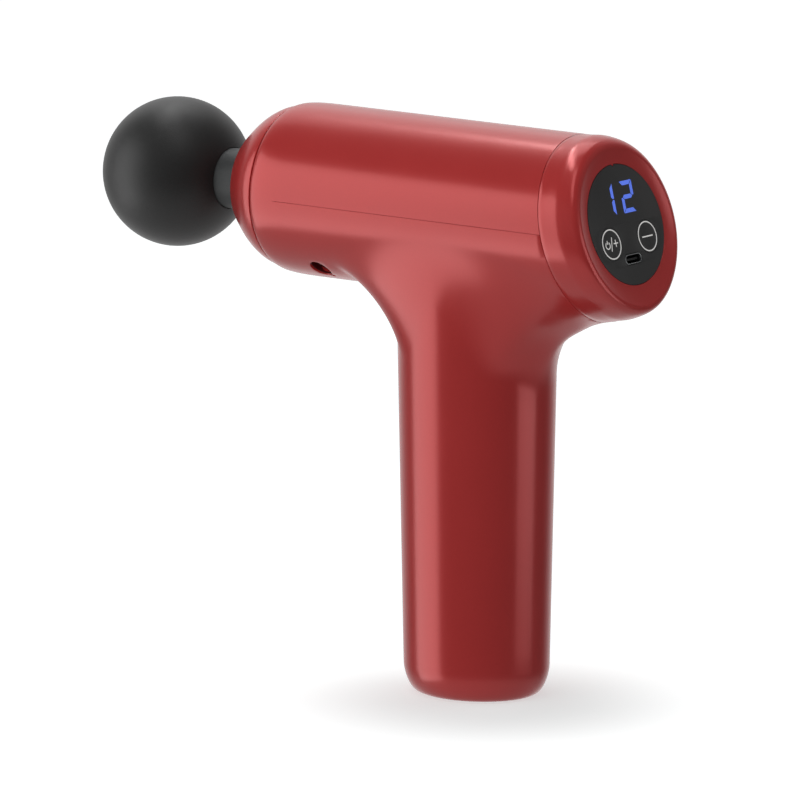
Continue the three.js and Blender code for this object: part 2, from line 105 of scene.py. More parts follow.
def finish_material(name, color, rough, metal=0.0, grain=900.0, bump=0.12, depth=0.02,
                    vary=0.06, rough_vary=0.06, coat=0.0, sheen=0.0, spec=0.5, stretch=(1, 1, 1),
                    emit=0.0):
    """A moulded or machined surface: two noises vary colour and roughness, a fine one bumps it."""
    mat = bpy.data.materials.new(name)
    mat.use_nodes = True
    t = mat.node_tree
    p = t.nodes["Principled BSDF"]
    place = node(t, "ShaderNodeTexCoord")
    scale = node(t, "ShaderNodeMapping")
    scale.inputs["Scale"].default_value = stretch
    t.links.new(place.outputs["Object"], scale.inputs["Vector"])
    broad = node(t, "ShaderNodeTexNoise", Scale=38.0, Detail=3.0, Roughness=0.55)
    fine = node(t, "ShaderNodeTexNoise", Scale=grain, Detail=2.0, Roughness=0.6)
    for n in (broad, fine):
        t.links.new(scale.outputs["Vector"], n.inputs["Vector"])
    ramp = node(t, "ShaderNodeValToRGB")
    low = [c * (1 - vary) for c in color]
    high = [min(1.0, c * (1 + vary)) for c in color]
    ramp.color_ramp.elements[0].position, ramp.color_ramp.elements[1].position = 0.3, 0.7
    ramp.color_ramp.elements[0].color = (*low, 1)
    ramp.color_ramp.elements[1].color = (*high, 1)
    mix = node(t, "ShaderNodeMix", data_type="FLOAT")
    mix.inputs["Factor"].default_value = 0.5
    t.links.new(broad.outputs["Fac"], mix.inputs["A"])
    t.links.new(fine.outputs["Fac"], mix.inputs["B"])
    t.links.new(mix.outputs["Result"], ramp.inputs["Fac"])
    t.links.new(ramp.outputs["Color"], p.inputs["Base Color"])
    spread = node(t, "ShaderNodeMapRange")
    spread.inputs["To Min"].default_value = max(0.02, rough - rough_vary)
    spread.inputs["To Max"].default_value = min(1.0, rough + rough_vary)
    t.links.new(broad.outputs["Fac"], spread.inputs["Value"])
    t.links.new(spread.outputs["Result"], p.inputs["Roughness"])
    relief = node(t, "ShaderNodeBump", Strength=bump, Distance=depth * MM)
    t.links.new(fine.outputs["Fac"], relief.inputs["Height"])
    t.links.new(relief.outputs["Normal"], p.inputs["Normal"])
    p.inputs["Metallic"].default_value = metal
    p.inputs["Specular IOR Level"].default_value = spec
    p.inputs["Coat Weight"].default_value = coat
    p.inputs["Coat Roughness"].default_value = 0.2
    p.inputs["Sheen Weight"].default_value = sheen
    if emit:
        t.links.new(ramp.outputs["Color"], p.inputs["Emission Color"])
        p.inputs["Emission Strength"].default_value = emit
    return mat


RED = finish_material("satin_red", (0.80, 0.058, 0.056), 0.22, 0.11, grain=1500, bump=0.10, depth=0.03,
                      vary=0.03, rough_vary=0.03)
# a darker copy of the shell's red: painted shade for the collar, which lies in the ball's shade
COLLAR_SHADE_RED = finish_material("collar_red", (0.42, 0.012, 0.014), 0.42, grain=1200, vary=0.05)
# the shell's red darkened for the screw cups: painted shade inside the holes
HOLE_SHADE_RED = finish_material("hole_painted_shade_red", (0.11, 0.005, 0.006), 0.5, grain=1200, vary=0.05)
BALL = finish_material("ball_foam", (0.017, 0.017, 0.017), 0.46, grain=2300, bump=0.7, depth=0.06,
                       vary=0.22, rough_vary=0.05, sheen=0.12, spec=0.50)
GREY = finish_material("neck_grey", (0.050, 0.054, 0.055), 0.50, grain=1500, bump=0.2, vary=0.06)
PANEL_M = finish_material("panel_film", (0.033, 0.033, 0.033), 0.42, grain=2600, bump=0.25,
                          depth=0.012, vary=0.04, rough_vary=0.03)
# white printed ink that also glows: painted light on the print, no lamp behind it
PRINT_AND_GLOW = finish_material("white_print_painted_glow", (0.80, 0.79, 0.77), 0.5, grain=2500, vary=0.03, emit=0.42)
DIGITS = finish_material("blue_digits", (0.080, 0.150, 0.66), 0.45, grain=1800, vary=0.16, emit=0.85)
STEEL = finish_material("turned_steel", (0.52, 0.53, 0.54), 0.28, 1.0, grain=700, bump=0.25,
                        vary=0.08, stretch=(1, 1, 6))
ALLOY = finish_material("machined_alloy", (0.60, 0.61, 0.62), 0.34, 1.0, grain=600, bump=0.3,
                        vary=0.07, stretch=(0.6, 3, 3))
CORE = finish_material("laminated_core", (0.16, 0.165, 0.17), 0.42, 0.9, grain=260, bump=0.8,
                       depth=0.08, vary=0.14, stretch=(0.15, 0.15, 14))
COPPER = finish_material("enamelled_copper", (0.62, 0.26, 0.09), 0.26, 0.9, grain=420, bump=0.9,
                         depth=0.12, vary=0.16, stretch=(0.4, 0.4, 5), coat=0.4)
NYLON = finish_material("glass_nylon", (0.028, 0.030, 0.033), 0.62, grain=1100, bump=0.5,
                        depth=0.05, vary=0.16)
ACETAL = finish_material("acetal", (0.70, 0.68, 0.62), 0.38, grain=800, bump=0.15, vary=0.03)
BOARD = finish_material("solder_mask", (0.012, 0.110, 0.045), 0.30, grain=520, bump=0.4,
                        depth=0.04, vary=0.25, coat=0.3)
WRAP = finish_material("cell_wrap", (0.030, 0.150, 0.420), 0.32, grain=300, bump=0.25,
                       depth=0.05, vary=0.08, coat=0.4)
RUBBER = finish_material("black_rubber", (0.016, 0.016, 0.017), 0.70, grain=900, bump=0.5,
                         depth=0.05, vary=0.15)
LEAD_RED = finish_material("lead_red", (0.42, 0.018, 0.016), 0.40, grain=700, vary=0.06)
LEAD_BLACK = finish_material("lead_black", (0.014, 0.014, 0.015), 0.42, grain=700, vary=0.10)
DARK = finish_material("port_dark", (0.006, 0.006, 0.006), 0.55, grain=900, vary=0.12)


# ------------------------------------------------------------------ mesh helpers
def mesh_object(name, points, faces, material, body, *replaced, slot, smooth=40):
    """New piece from points in mm; edges sharper than smooth degrees stay sharp."""
    data = bpy.data.meshes.new(name)
    data.from_pydata([tuple(c * MM for c in p) for p in points], [], faces)
    data.materials.append(material)
    return adopt(bpy.data.objects.new(name, data), body, replaced, smooth)


def adopt(obj, body, replaced=(), smooth=28):
    """Links a new piece, welds and shades it, hangs it under its body's empty and hides the CAD parts that
    it replaces.
    """
    if obj.name not in bpy.context.scene.collection.objects:
        bpy.context.scene.collection.objects.link(obj)
    bm = bmesh.new()
    bm.from_mesh(obj.data)
    bmesh.ops.remove_doubles(bm, verts=bm.verts, dist=WELD)
    bmesh.ops.recalc_face_normals(bm, faces=bm.faces)
    for f in bm.faces:
        f.smooth = True
    for e in bm.edges:
        if len(e.link_faces) == 2 and e.calc_face_angle(0) > radians(smooth):
            e.smooth = False
    bm.to_mesh(obj.data)
    bm.free()
    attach(obj, body)
    if replaced:
        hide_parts(*replaced)
    return obj


def curve_through(points, per):
    """Catmull-Rom curve through 2D points, ends included, with per samples to a span."""
    pts = [Vector(p) for p in points]
    ext = [2 * pts[0] - pts[1], *pts, 2 * pts[-1] - pts[-2]]
    out = []
    for a, b, c, d in zip(ext, ext[1:], ext[2:], ext[3:]):
        for i in range(per):
            s = i / per
            out.append(0.5 * ((2 * b) + (c - a) * s + (2 * a - 5 * b + 4 * c - d) * s * s
                              + (3 * b - a - 3 * c + d) * s ** 3))
    out.append(pts[-1])
    return [(p.x, p.y) for p in out]


def corner(center, radius, start, end, steps):
    """Points of a small arc in a (radius, height) profile; angles in degrees."""
    return [(center[0] + radius * cos(radians(start + (end - start) * i / steps)),
             center[1] + radius * sin(radians(start + (end - start) * i / steps)))
            for i in range(steps + 1)]


def grid_faces(rows, cols, wrap_rows=False):
    """Quads between rings of points; wrap_rows joins the last ring to the first."""
    faces = []
    for j in range(rows if wrap_rows else rows - 1):
        for i in range(cols):
            a, b = j * cols + i, j * cols + (i + 1) % cols
            k = ((j + 1) % rows) * cols
            faces.append((a, b, k + (i + 1) % cols, k + i))
    return faces


def turned_x(profile, segs):
    """Closed profile of (radius, x) turned about the barrel axis; radius 0 closes on the axis."""
    pts = [(x, r * sin(2 * pi * i / segs), AXIS_Z - r * cos(2 * pi * i / segs))
           for r, x in profile for i in range(segs)]
    return pts, grid_faces(len(profile), segs, wrap_rows=True)


# ------------------------------------------------------------------ T-shaped surface
def neck_radius(t):
    """Fillet between handle and barrel at angle t round the handle: tight at the ends, flat at the sides."""
    ends = NECK_FRONT_R + (NECK_REAR_R - NECK_FRONT_R) * 0.5 * (1 + cos(t))
    return ends + (NECK_SIDE_R - ends) * sin(t) ** 4


def wall_point(t, z, shrink=0.0):
    """Point of the handle's wall at angle t and height z."""
    return Vector(((HANDLE_A + FLARE * z - shrink) * cos(t),
                   (HANDLE_B + FLARE * z - shrink) * sin(t), z))


def wall_normal(t, z):
    a, b = HANDLE_A + FLARE * z, HANDLE_B + FLARE * z
    along = Vector((-a * sin(t), b * cos(t), 0))
    up = Vector((FLARE * cos(t), FLARE * sin(t), 1))
    return along.cross(up).normalized()


def fillet(t):
    """Ball that touches handle wall and barrel: contact height, centre, wall normal, barrel direction."""
    r = neck_radius(t)
    low, high = 60.0, AXIS_Z
    for _ in range(40):
        z = (low + high) / 2
        c = wall_point(t, z) + r * wall_normal(t, z)
        if hypot(c.y, c.z - AXIS_Z) > BARREL_R + r:
            low = z
        else:
            high = z
    up = Vector((0, -c.y, AXIS_Z - c.z)).normalized()
    return z, c, wall_normal(t, z), up, r


def fillet_point(contact, s):
    """Point of the fillet; s runs from 0 on the handle to 1 on the barrel."""
    _, c, n, up, r = contact
    angle = (-n).angle(up)
    return c + r * (-n * sin((1 - s) * angle) + up * sin(s * angle)) / sin(angle)


def barrel_radius(x):
    """Plain tube with a rounded shoulder at the front."""
    if x >= SHOULDER[-1][0]:
        return BARREL_R
    for (x0, r0), (x1, r1) in zip(SHOULDER, SHOULDER[1:]):
        if x <= x1:
            return r0 + (r1 - r0) * (x - x0) / (x1 - x0)
    return BARREL_R


def on_barrel(x, psi):
    """Point of the barrel's skin; psi is measured from straight down."""
    r = barrel_radius(x)
    return Vector((x, r * sin(psi), AXIS_Z - r * cos(psi)))


def inside(p, loop):
    """Whether the loop's edges go round p."""
    hit = False
    for (x0, y0), (x1, y1) in zip(loop, loop[1:] + loop[:1]):
        if (y0 > p[1]) != (y1 > p[1]) and p[0] < x0 + (x1 - x0) * (p[1] - y0) / (y1 - y0):
            hit = not hit
    return hit


def hole_loop(x, drop, side, radius, count, tall=1.0):
    """Hole in the barrel's wall, in (x, arc length) on the barrel; tall stretches it along the arc."""
    centre = side * (pi / 2 - radians(drop))
    loop = []
    for i in range(count):
        u = 2 * pi * i / count
        loop.append((x + radius * cos(u),
                     BARREL_R * (centre + asin(tall * radius * sin(u) / BARREL_R))))
    return loop


def t_surface(holes):
    """Points and faces of the whole outer skin: base, handle, neck and a barrel with open ends."""
    turns, handle_rows, fillet_rows = 160, 14, 18
    angles = [2 * pi * i / turns for i in range(turns)]
    neck = [fillet(t) for t in angles]
    rows = []
    for inset, z in curve_through(BASE_EDGE, 3):
        rows.append([wall_point(t, z, inset) for t in angles])
    for k in range(1, handle_rows + 1):
        f = k / handle_rows
        rows.append([wall_point(t, z + f * (d[0] - z)) for t, d in zip(angles, neck)])
    for k in range(1, fillet_rows + 1):
        rows.append([fillet_point(d, k / fillet_rows) for d in neck])
    points = [p for row in rows for p in row]
    faces = grid_faces(len(rows), turns)
    points.append(Vector((0, 0, 0)))
    faces += [(i, len(points) - 1, (i + 1) % turns) for i in range(turns)]

    ring = [(p.x, BARREL_R * atan2(p.y, AXIS_Z - p.z)) for p in rows[-1]]
    loops = [ring, *holes]
    xs = [x for x, _ in SHOULDER[:-1]] + [-62]
    xs += [-59.5 + 2.9 * i for i in range(48)]
    step = radians(360 / turns)
    flat = [Vector((x, BARREL_R * (-pi + step * j))) for x in xs for j in range(turns + 1)]
    outlines = [[Vector(p) for p in loop] for loop in loops]
    clear = 0.55
    flat = [p for p in flat if all(min((p - q).length for q in line) > clear for line in outlines)]
    edges = []
    for loop in loops:
        base = len(flat)
        flat += [Vector(p) for p in loop]
        edges += [(base + i, base + (i + 1) % len(loop)) for i in range(len(loop))]
    verts, _, tris, *_ = geometry.delaunay_2d_cdt(flat, edges, [], 0, 1e-5)
    boxes = []
    for loop in loops:
        across, round_axis = zip(*loop)
        boxes.append((min(across), max(across), min(round_axis), max(round_axis)))
    base = len(points)
    points += [on_barrel(v.x, v.y / BARREL_R) for v in verts]
    for tri in tris:
        m = (verts[tri[0]] + verts[tri[1]] + verts[tri[2]]) / 3
        cut_away = any(x0 < m.x < x1 and y0 < m.y < y1 and inside(m, loop)
                       for (x0, x1, y0, y1), loop in zip(boxes, loops))
        if not cut_away:
            faces.append(tuple(base + i for i in tri))
    return points, faces


def ease(x, start, end):
    """0 before start, 1 after end, smooth between."""
    u = min(1.0, max(0.0, (x - start) / (end - start)))
    return u * u * (3 - 2 * u)


def droop(p):
    """Behind the handle the underside stays fuller than the plain tube and fillet."""
    psi = abs(atan2(p.y, AXIS_Z - p.z))
    if p.x > FULLER_FROM and psi < radians(FULLER_HALF):
        fuller = FULLER * ease(p.x, FULLER_FROM, FULLER_TO) - FULLER_FADE * ease(p.x, FADE_FROM, FADE_TO)
        p.z -= fuller * cos(psi * 90 / FULLER_HALF) ** 2
    return p


screw_holes = [hole_loop(SCREW_X, SCREW_DROP, side, HOLE_R, 48, HOLE_TALL) for side in (-1, 1)]
pin_hole = hole_loop(PIN_X, PIN_DROP, -1, PIN_R, 16)
skin_points, skin_faces = t_surface([*screw_holes, pin_hole])
skin_points = [droop(p) for p in skin_points]
skin_tree = BVHTree.FromPolygons(skin_points, skin_faces)


def skin_radius(x, psi):
    """Distance of the outer skin from the barrel axis, in that direction."""
    out = Vector((0, sin(psi), -cos(psi)))
    start, reach = 24, 30
    hit = skin_tree.ray_cast(Vector((x, 0, AXIS_Z)) + start * out, out, reach)
    return start + hit[3] if hit[0] is not None else BARREL_R


def cut_skin(name, keep):
    """The skin ahead of the rear seam, with its wall: the part below the side seam (-1) or above it (1)."""
    bm = bmesh.new()
    for p in skin_points:
        bm.verts.new(p)
    bm.verts.ensure_lookup_table()
    for f in skin_faces:
        try:
            bm.faces.new([bm.verts[i] for i in f])
        except ValueError:
            pass                   # the face is there already
    bmesh.ops.remove_doubles(bm, verts=bm.verts, dist=SKIN_WELD)
    bmesh.ops.recalc_face_normals(bm, faces=bm.faces)
    seam = radians(SEAM_LEAN)
    whole = bm.verts[:] + bm.edges[:] + bm.faces[:]
    bmesh.ops.bisect_plane(bm, geom=whole, plane_co=(SEAM_X - SEAM_GAP, 0, AXIS_Z),
                           plane_no=(cos(seam), 0, sin(seam)), clear_outer=True, dist=1e-4)
    whole = bm.verts[:] + bm.edges[:] + bm.faces[:]
    bmesh.ops.bisect_plane(bm, geom=whole, plane_co=(0, 0, AXIS_Z), plane_no=(0, 0, keep),
                           clear_inner=True, dist=1e-4)
    for v in bm.verts:
        if abs(v.co.z - AXIS_Z) < 1e-3:
            opened = min(1.0, max(0.0, (v.co.x - SPLIT_FRONT_X) / SPLIT_TAPER))
            v.co.z += keep * SEAM_GAP * opened
    for v in bm.verts:
        v.co *= MM
    data = bpy.data.meshes.new(name)
    bm.to_mesh(data)
    bm.free()
    data.materials.append(RED)
    obj = bpy.data.objects.new(name, data)
    bpy.context.scene.collection.objects.link(obj)
    wall = obj.modifiers.new("wall", "SOLIDIFY")
    wall.thickness, wall.offset = WALL * MM, -1
    wall.use_even_offset = True
    wall.use_rim = True
    for f in data.polygons:
        f.use_smooth = True
    return obj


def apply_modifiers(obj):
    """Gives the object the mesh that its modifiers make."""
    deps = bpy.context.evaluated_depsgraph_get()
    data = bpy.data.meshes.new_from_object(obj.evaluated_get(deps))
    obj.modifiers.clear()
    old = obj.data
    obj.data = data
    bpy.data.meshes.remove(old)


def round_rims(obj):
    """Small rounding on the outer edge of every seam and hole, as moulded parts have."""
    apply_modifiers(obj)
    bm = bmesh.new()
    bm.from_mesh(obj.data)
    picked = []
    for e in bm.edges:
        if len(e.link_faces) == 2 and e.calc_face_angle(0) > radians(50):
            m = (e.verts[0].co + e.verts[1].co) / 2 / MM
            closed_seam = abs(m.z - AXIS_Z) < 0.3 and m.x < SPLIT_FRONT_X + 2 and abs(m.y) > 20
            floor_edge = m.z <= 6
            if not closed_seam and not floor_edge:
                picked.append(e)
    bmesh.ops.bevel(bm, geom=picked, offset=RIM_ROUND * MM, offset_type="OFFSET", segments=2,
                    profile=0.5, affect="EDGES", clamp_overlap=True)
    bm.to_mesh(obj.data)
    bm.free()
    return obj


for part, keep in (("body_shell", -1), ("top_cover", 1)):
    adopt(round_rims(cut_skin(part + "_fine", keep)), "housing", (part,))


# ------------------------------------------------------------------ rear cap
def rear_cap():
    cols, face_rows = 240, 14
    lean_over = 14.3               # the lean goes from the seam's to the face's over this length
    round_from, round_over = 49, 12
    flare_loss, rim_lift = 0.62, 0.8
    psis = [2 * pi * i / cols - pi for i in range(cols)]
    seam_t, face_t = tan(radians(SEAM_LEAN)), tan(radians(FACE_LEAN))

    def row(r, h, flare=1.0):
        """Leaning ring; it follows the neck's flare at the seam and is rounder and higher at the rim."""
        slant = seam_t + (face_t - seam_t) * min(1.0, max(0.0, (h - SEAM_X) / lean_over))
        along = min(1.0, max(0.0, (h - round_from) / round_over))
        flare *= 1 - flare_loss * along
        lift = rim_lift * along
        ring = []
        for psi in psis:
            rho = r
            for _ in range(3):
                x = h + rho * cos(psi) * slant
                rho = r * (1 + flare * (skin_radius(x, psi) / BARREL_R - 1))
            down = rho * cos(psi)
            ring.append(Vector((h + (down - lift) * slant, rho * sin(psi), AXIS_Z + lift - down)))
        return ring

    outer = [(28.8, 46.37), (28.93, 46.42), (BARREL_R, 46.56)]
    outer += [(BARREL_R, h) for h in (48.0, 49.6, 51.2, 52.4)]
    outer += curve_through([(29.0, 53.3), (28.98, 54.0), (28.92, 54.7), (28.82, 55.4), (28.69, 56.1),
                            (28.44, 57.3), (28.13, 58.5), (27.78, 59.5), (27.36, 60.25), (26.85, 60.8),
                            (26.3, 61.15), (25.7, 61.34), (25.1, 61.4)], 4)
    rows = [row(r, h) for r, h in outer]

    # the face: from the ridge in to the panel's recess, in the panel's own frame
    to_panel = PANEL.inverted()
    ridge = [to_panel @ p for p in rows[-1]]
    angles = [atan2(q.y, q.x) for q in ridge]
    edge_r, edge_drop = PANEL_R + 0.22, 0.05
    for i in range(1, face_rows + 1):
        u = i / face_rows
        sink = 1 - (1 - u) ** 1.5
        rows.append([PANEL @ Vector((q.x + (edge_r * cos(a) - q.x) * u, q.y + (edge_r * sin(a) - q.y) * u,
                                     q.z * (1 - sink) - edge_drop * sink)) for q, a in zip(ridge, angles)])
    for r, n in ((edge_r - 0.06, -0.12), (edge_r - 0.08, -0.3), (edge_r - 0.08, -2.1), (17.6, -2.1),
                 (17.6, -3.4), (23.2, -4.4)):
        rows.append([PANEL @ Vector((r * cos(a), r * sin(a), n)) for a in angles])
    # the inside, and the spigot that plugs into the barrel
    rows += [row(r, h, 0.0) for r, h in ((26.4, 53.4), (26.4, 51.2), (24.6, 50.4), (24.6, 43.2),
                                         (24.8, 43.0), (26.3, 43.0), (26.5, 43.2), (26.5, 46.42))]
    return [p for ring in rows for p in ring], grid_faces(len(rows), cols, wrap_rows=True)


mesh_object("rear_cap_fine", *rear_cap(), RED, "housing", "rear_cap", slot="shell_red")

# ------------------------------------------------------------------ nose and collar
nose_outer = [(25.8, -74.45), (27.3, -74.45), (27.44, -74.52),
              *curve_through([(27.48, -74.65), (27.2, -76.0), (26.8, -77.4), (26.22, -78.8), (25.4, -80.4),
                              (24.35, -82.1), (23.05, -83.9), (21.55, -85.7), (19.9, -87.6), (18.6, -89.0),
                              (17.55, -89.9), (16.9, -90.2)], 4)]
nose = nose_outer + corner((16.9, -89.9), 0.3, 270, 180, 4) + [(16.6, -87.6), (20.0, -84.0), (24.2, -75.2),
                                                               (24.2, -70.2), (24.4, -70), (26.3, -70),
                                                               (26.5, -70.2), (26.5, -74.2), (25.8, -74.4)]
mesh_object("nose_cap_fine", *turned_x(nose, 200), RED, "housing", "nose_cap", slot="shell_red")
collar = [(11.5, -90.7), *corner((11.8, -90.8), 0.3, 180, 270, 3), *corner((15.1, -90.5), 0.6, 270, 360, 6),
          (15.7, -89.6), (15.85, -87.4), (16.8, -85.9), (11.5, -84.3)]
# the collar takes the darker red, which paints the shade that falls on it
mesh_object("nose_collar_fine", *turned_x(collar, 120), COLLAR_SHADE_RED, "housing", "nose_collar",
            slot="collar_red")


# ------------------------------------------------------------------ screw cups
def flank(x, drop, side):
    """Frame on the barrel's axis whose Z points out, drop degrees below the horizontal."""
    t = radians(drop)
    out = Vector((0, side * cos(t), -sin(t)))
    along = Vector((1, 0, 0))
    across = out.cross(along)
    return Matrix(((along.x, across.x, out.x, x), (along.y, across.y, out.y, 0),
                   (along.z, across.z, out.z, AXIS_Z), (0, 0, 0, 1)))


def turned_z(profile, segs, matrix):
    """Closed profile of (radius, height) turned about the matrix's Z."""
    pts = [matrix @ Vector((r * cos(2 * pi * i / segs), r * sin(2 * pi * i / segs), h))
           for r, h in profile for i in range(segs)]
    return pts, grid_faces(len(profile), segs, wrap_rows=True)


cup = [(3.62, 28.3), (3.5, 28.2), (3.5, 22.0), (1.9, 21.8), (1.8, 21.6), (1.8, 20.2), (2.0, 20.0),
       (4.9, 20.0), (5.2, 20.3), (5.2, 26.4), (3.62, 26.6)]
for label, side in (("near", -1), ("far", 1)):
    # the cups take the darkened red, which paints the shade inside the holes
    oval = flank(SCREW_X, SCREW_DROP, side) @ Matrix.Diagonal((1, HOLE_TALL, 1, 1))
    mesh_object(f"screw_cup_{label}", *turned_z(cup, 48, oval), HOLE_SHADE_RED, "housing", slot="shell_red")


# ------------------------------------------------------------------ massage head
def ball_profile():
    """The hollow ball: its outside from the tip to the opening, then its inside back to the axis."""
    hole_r = NECK_R + 0.25
    inner = BALL_R - BALL_WALL
    edge, start = asin(hole_r / BALL_R), asin(hole_r / inner)
    outside = [pi - (pi - edge) * i / 60 for i in range(61)]
    profile = [(BALL_R * sin(a), BALL_X + BALL_R * cos(a)) for a in outside]
    profile[0] = (0.0, BALL_X - BALL_R)
    profile.append((NECK_R + 0.22, profile[-1][1] - 0.3))
    within = [start + (pi - start) * i / 24 for i in range(25)]
    return profile + [(max(0.0, inner * sin(a)), BALL_X + inner * cos(a)) for a in within]


mesh_object("ball_head_fine", *turned_x(ball_profile(), 128), BALL, "massage_head", "ball_head",
            slot="ball_rubber")
stem = [(0, -114.5), (14.7, -114.5), (15, -114.2), (15, -112.3), (14.7, -112), (10.4, -110.2),
        (NECK_R, -109.6), *[(NECK_R, -109 + 2.2 * i) for i in range(10)], (NECK_R, -86.9),
        *corner((NECK_R - 0.3, -86.9), 0.3, 0, 90, 4),
        (5.1, -86.4), (4.8, -86.1), (4.8, -79.1), (3.5, -79.1), (3.5, -76.7), (4.8, -76.7), (4.8, -70.1),
        (3.5, -70.1), (3.5, -67.7), (4.8, -67.7), (4.8, -63), (3.9, -62), (0, -62)]
mesh_object("head_stem_fine", *turned_x(stem, 96), GREY, "massage_head", "head_stem",
            slot="grey_plastic", smooth=35)


# ------------------------------------------------------------------ control panel and keys
def circle(r, count, x=0.0, y=0.0):
    return [(x + r * cos(2 * pi * i / count), y + r * sin(2 * pi * i / count)) for i in range(count)]


def stadium(w, h, x=0.0, y=0.0, r=None):
    """Rectangle with round corners; without r its ends are half circles."""
    r = h / 2 if r is None else r
    steps = 14
    out = []
    for cx, cy, first in ((w / 2 - r, -h / 2 + r, -90), (w / 2 - r, h / 2 - r, 0),
                          (-w / 2 + r, h / 2 - r, 90), (-w / 2 + r, -h / 2 + r, 180)):
        angles = [radians(first + 90 * i / steps) for i in range(steps + 1)]
        out += [(x + cx + r * cos(a), y + cy + r * sin(a)) for a in angles]
    return out


def plate(name, outlines, low, high, material, body, *replaced, edge=0.0, slot=None):
    """Extruded outline with holes and softly rounded edges, lying in the panel's own frame."""
    curve = bpy.data.curves.new(name + "_outline", "CURVE")
    curve.dimensions = "2D"
    curve.fill_mode = "BOTH"
    for line in outlines:
        spline = curve.splines.new("POLY")
        clean = [p for i, p in enumerate(line) if (Vector(p) - Vector(line[i - 1])).length > 1e-4]
        spline.points.add(len(clean) - 1)
        for point, (x, y) in zip(spline.points, clean):
            point.co = (x, y, 0, 1)
        spline.use_cyclic_u = True
    curve.extrude = (high - low) / 2 - edge
    curve.bevel_depth = edge
    curve.bevel_resolution = 2
    curve.offset = -edge
    temp = bpy.data.objects.new(name + "_temp", curve)
    bpy.context.scene.collection.objects.link(temp)
    deps = bpy.context.evaluated_depsgraph_get()
    data = bpy.data.meshes.new_from_object(temp.evaluated_get(deps))
    bpy.data.objects.remove(temp)
    bpy.data.curves.remove(curve)
    data.name = name
    for v in data.vertices:
        v.co = (PANEL @ Vector((v.co.x, v.co.y, v.co.z + (low + high) / 2))) * MM
    data.materials.clear()
    data.materials.append(material)
    return adopt(bpy.data.objects.new(name, data), body, replaced)


def panel_outline():
    """The panel's rim, with a small notch at the top."""
    half, depth, slope = NOTCH / 2, 0.5, 0.15
    rim = [p for p in circle(PANEL_R, 240) if not (p[1] > 0 and abs(p[0]) < half)]
    mouth = sqrt(PANEL_R ** 2 - NOTCH ** 2 / 4)
    notch = [(half, mouth), (half - slope, PANEL_R - depth), (slope - half, PANEL_R - depth), (-half, mouth)]
    split = next(i for i, p in enumerate(rim) if p[0] < 0 and p[1] > 0)
    return rim[:split] + notch + rim[split:]


key_holes = [circle(KEY_R + 0.12, 72, side * KEY_X, KEY_Y) for side in (-1, 1)]
port = stadium(USB_W + 0.5, USB_H + 0.5, 0, USB_Y)
plate("control_panel_fine", [panel_outline(), *key_holes, port], -1.8, 0.0, PANEL_M, "housing",
      "control_panel", edge=0.08, slot="panel_black")
for name, side, body in (("power_plus_key", -1, "power_key"), ("minus_key", 1, "minus_key_body")):
    plate(name + "_fine", [circle(KEY_R, 72, side * KEY_X, KEY_Y)], -1.7, 0.0, PANEL_M, body, name,
          edge=0.06, slot="panel_black")
    ring = [circle(r, 96, side * KEY_X, KEY_Y) for r in (5.06, 4.66)]
    plate(name + "_ring", ring, 0.0, PRINT_T, PRINT_AND_GLOW, body)


def bar(x0, y0, x1, y1, w):
    """Straight stroke of width w."""
    d = Vector((x1 - x0, y1 - y0)).normalized()
    n = Vector((-d.y, d.x)) * w / 2
    return [(x0 + n.x, y0 + n.y), (x0 - n.x, y0 - n.y), (x1 - n.x, y1 - n.y), (x1 + n.x, y1 + n.y)]


def arc_band(x, y, r, w, first, last):
    """Curved stroke of width w, between two angles in degrees."""
    steps = 28
    there = [radians(first + (last - first) * i / steps) for i in range(steps + 1)]
    back = [radians(last + (first - last) * i / steps) for i in range(steps + 1)]
    return ([(x + (r + w / 2) * cos(a), y + (r + w / 2) * sin(a)) for a in there]
            + [(x + (r - w / 2) * cos(a), y + (r - w / 2) * sin(a)) for a in back])


def plus_sign(x, y, reach, w):
    """Two crossed strokes of width w as one outline."""
    h = w / 2
    return [(x - reach, y - h), (x - h, y - h), (x - h, y - reach), (x + h, y - reach), (x + h, y - h),
            (x + reach, y - h), (x + reach, y + h), (x + h, y + h), (x + h, y + reach), (x - h, y + reach),
            (x - h, y + h), (x - reach, y + h)]


kx, ky = -KEY_X, KEY_Y        # centre of the power key
symbols = (
    ("power_icon", arc_band(kx - 2.15, ky - 0.15, 1.15, LINE, 125, 415), "power_key"),
    ("power_icon_bar", bar(kx - 2.15, ky + 0.2, kx - 2.15, ky + 1.5, LINE), "power_key"),
    ("slash_icon", bar(kx - 0.55, ky - 2.3, kx + 0.65, ky + 2.3, LINE), "power_key"),
    ("plus_icon", plus_sign(kx + 2.3, ky + 0.1, 1.2, LINE), "power_key"),
    ("minus_icon", bar(KEY_X - 2.9, KEY_Y, KEY_X + 2.9, KEY_Y, 0.42), "minus_key_body"),
)
for name, outline, body in symbols:
    plate(name, [outline], 0.0, PRINT_T, PRINT_AND_GLOW, body)


# ------------------------------------------------------------------ seven-segment digits, 1 and 2
def segment(part, x0):
    """Corner points of one segment; the outer edge is the longer one, the middle bar is pointed."""
    w, h, y, t = DIGIT_W, DIGIT_H / 2, SLIT, SEG_W
    top = [(y, h), (w - y, h), (w - t - y, h - t), (t + y, h - t)]
    right = [(w, h - y), (w, y + 0.1), (w - t / 2, y), (w - t, t / 2 + y), (w - t, h - t - y)]
    middle = [(t / 2 + y, 0), (t + y, t / 2), (w - t - y, t / 2), (w - t / 2 - y, 0), (w - t - y, -t / 2),
              (t + y, -t / 2)]
    shape = {"a": top, "b": right, "g": middle, "c": [(x, -v) for x, v in right],
             "d": [(x, -v) for x, v in top], "e": [(w - x, -v) for x, v in right]}[part]
    return [(x0 + x + v * tan(radians(DIGIT_LEAN)), v + DIGIT_Y) for x, v in shape]


for label, x_left, parts in (("one", -10.15, "bc"), ("two", 0.8, "abged")):
    for part in parts:
        plate(f"digit_{label}_{part}", [segment(part, x_left)], 0.0, DIGIT_T, DIGITS, "housing",
              slot="panel_black")

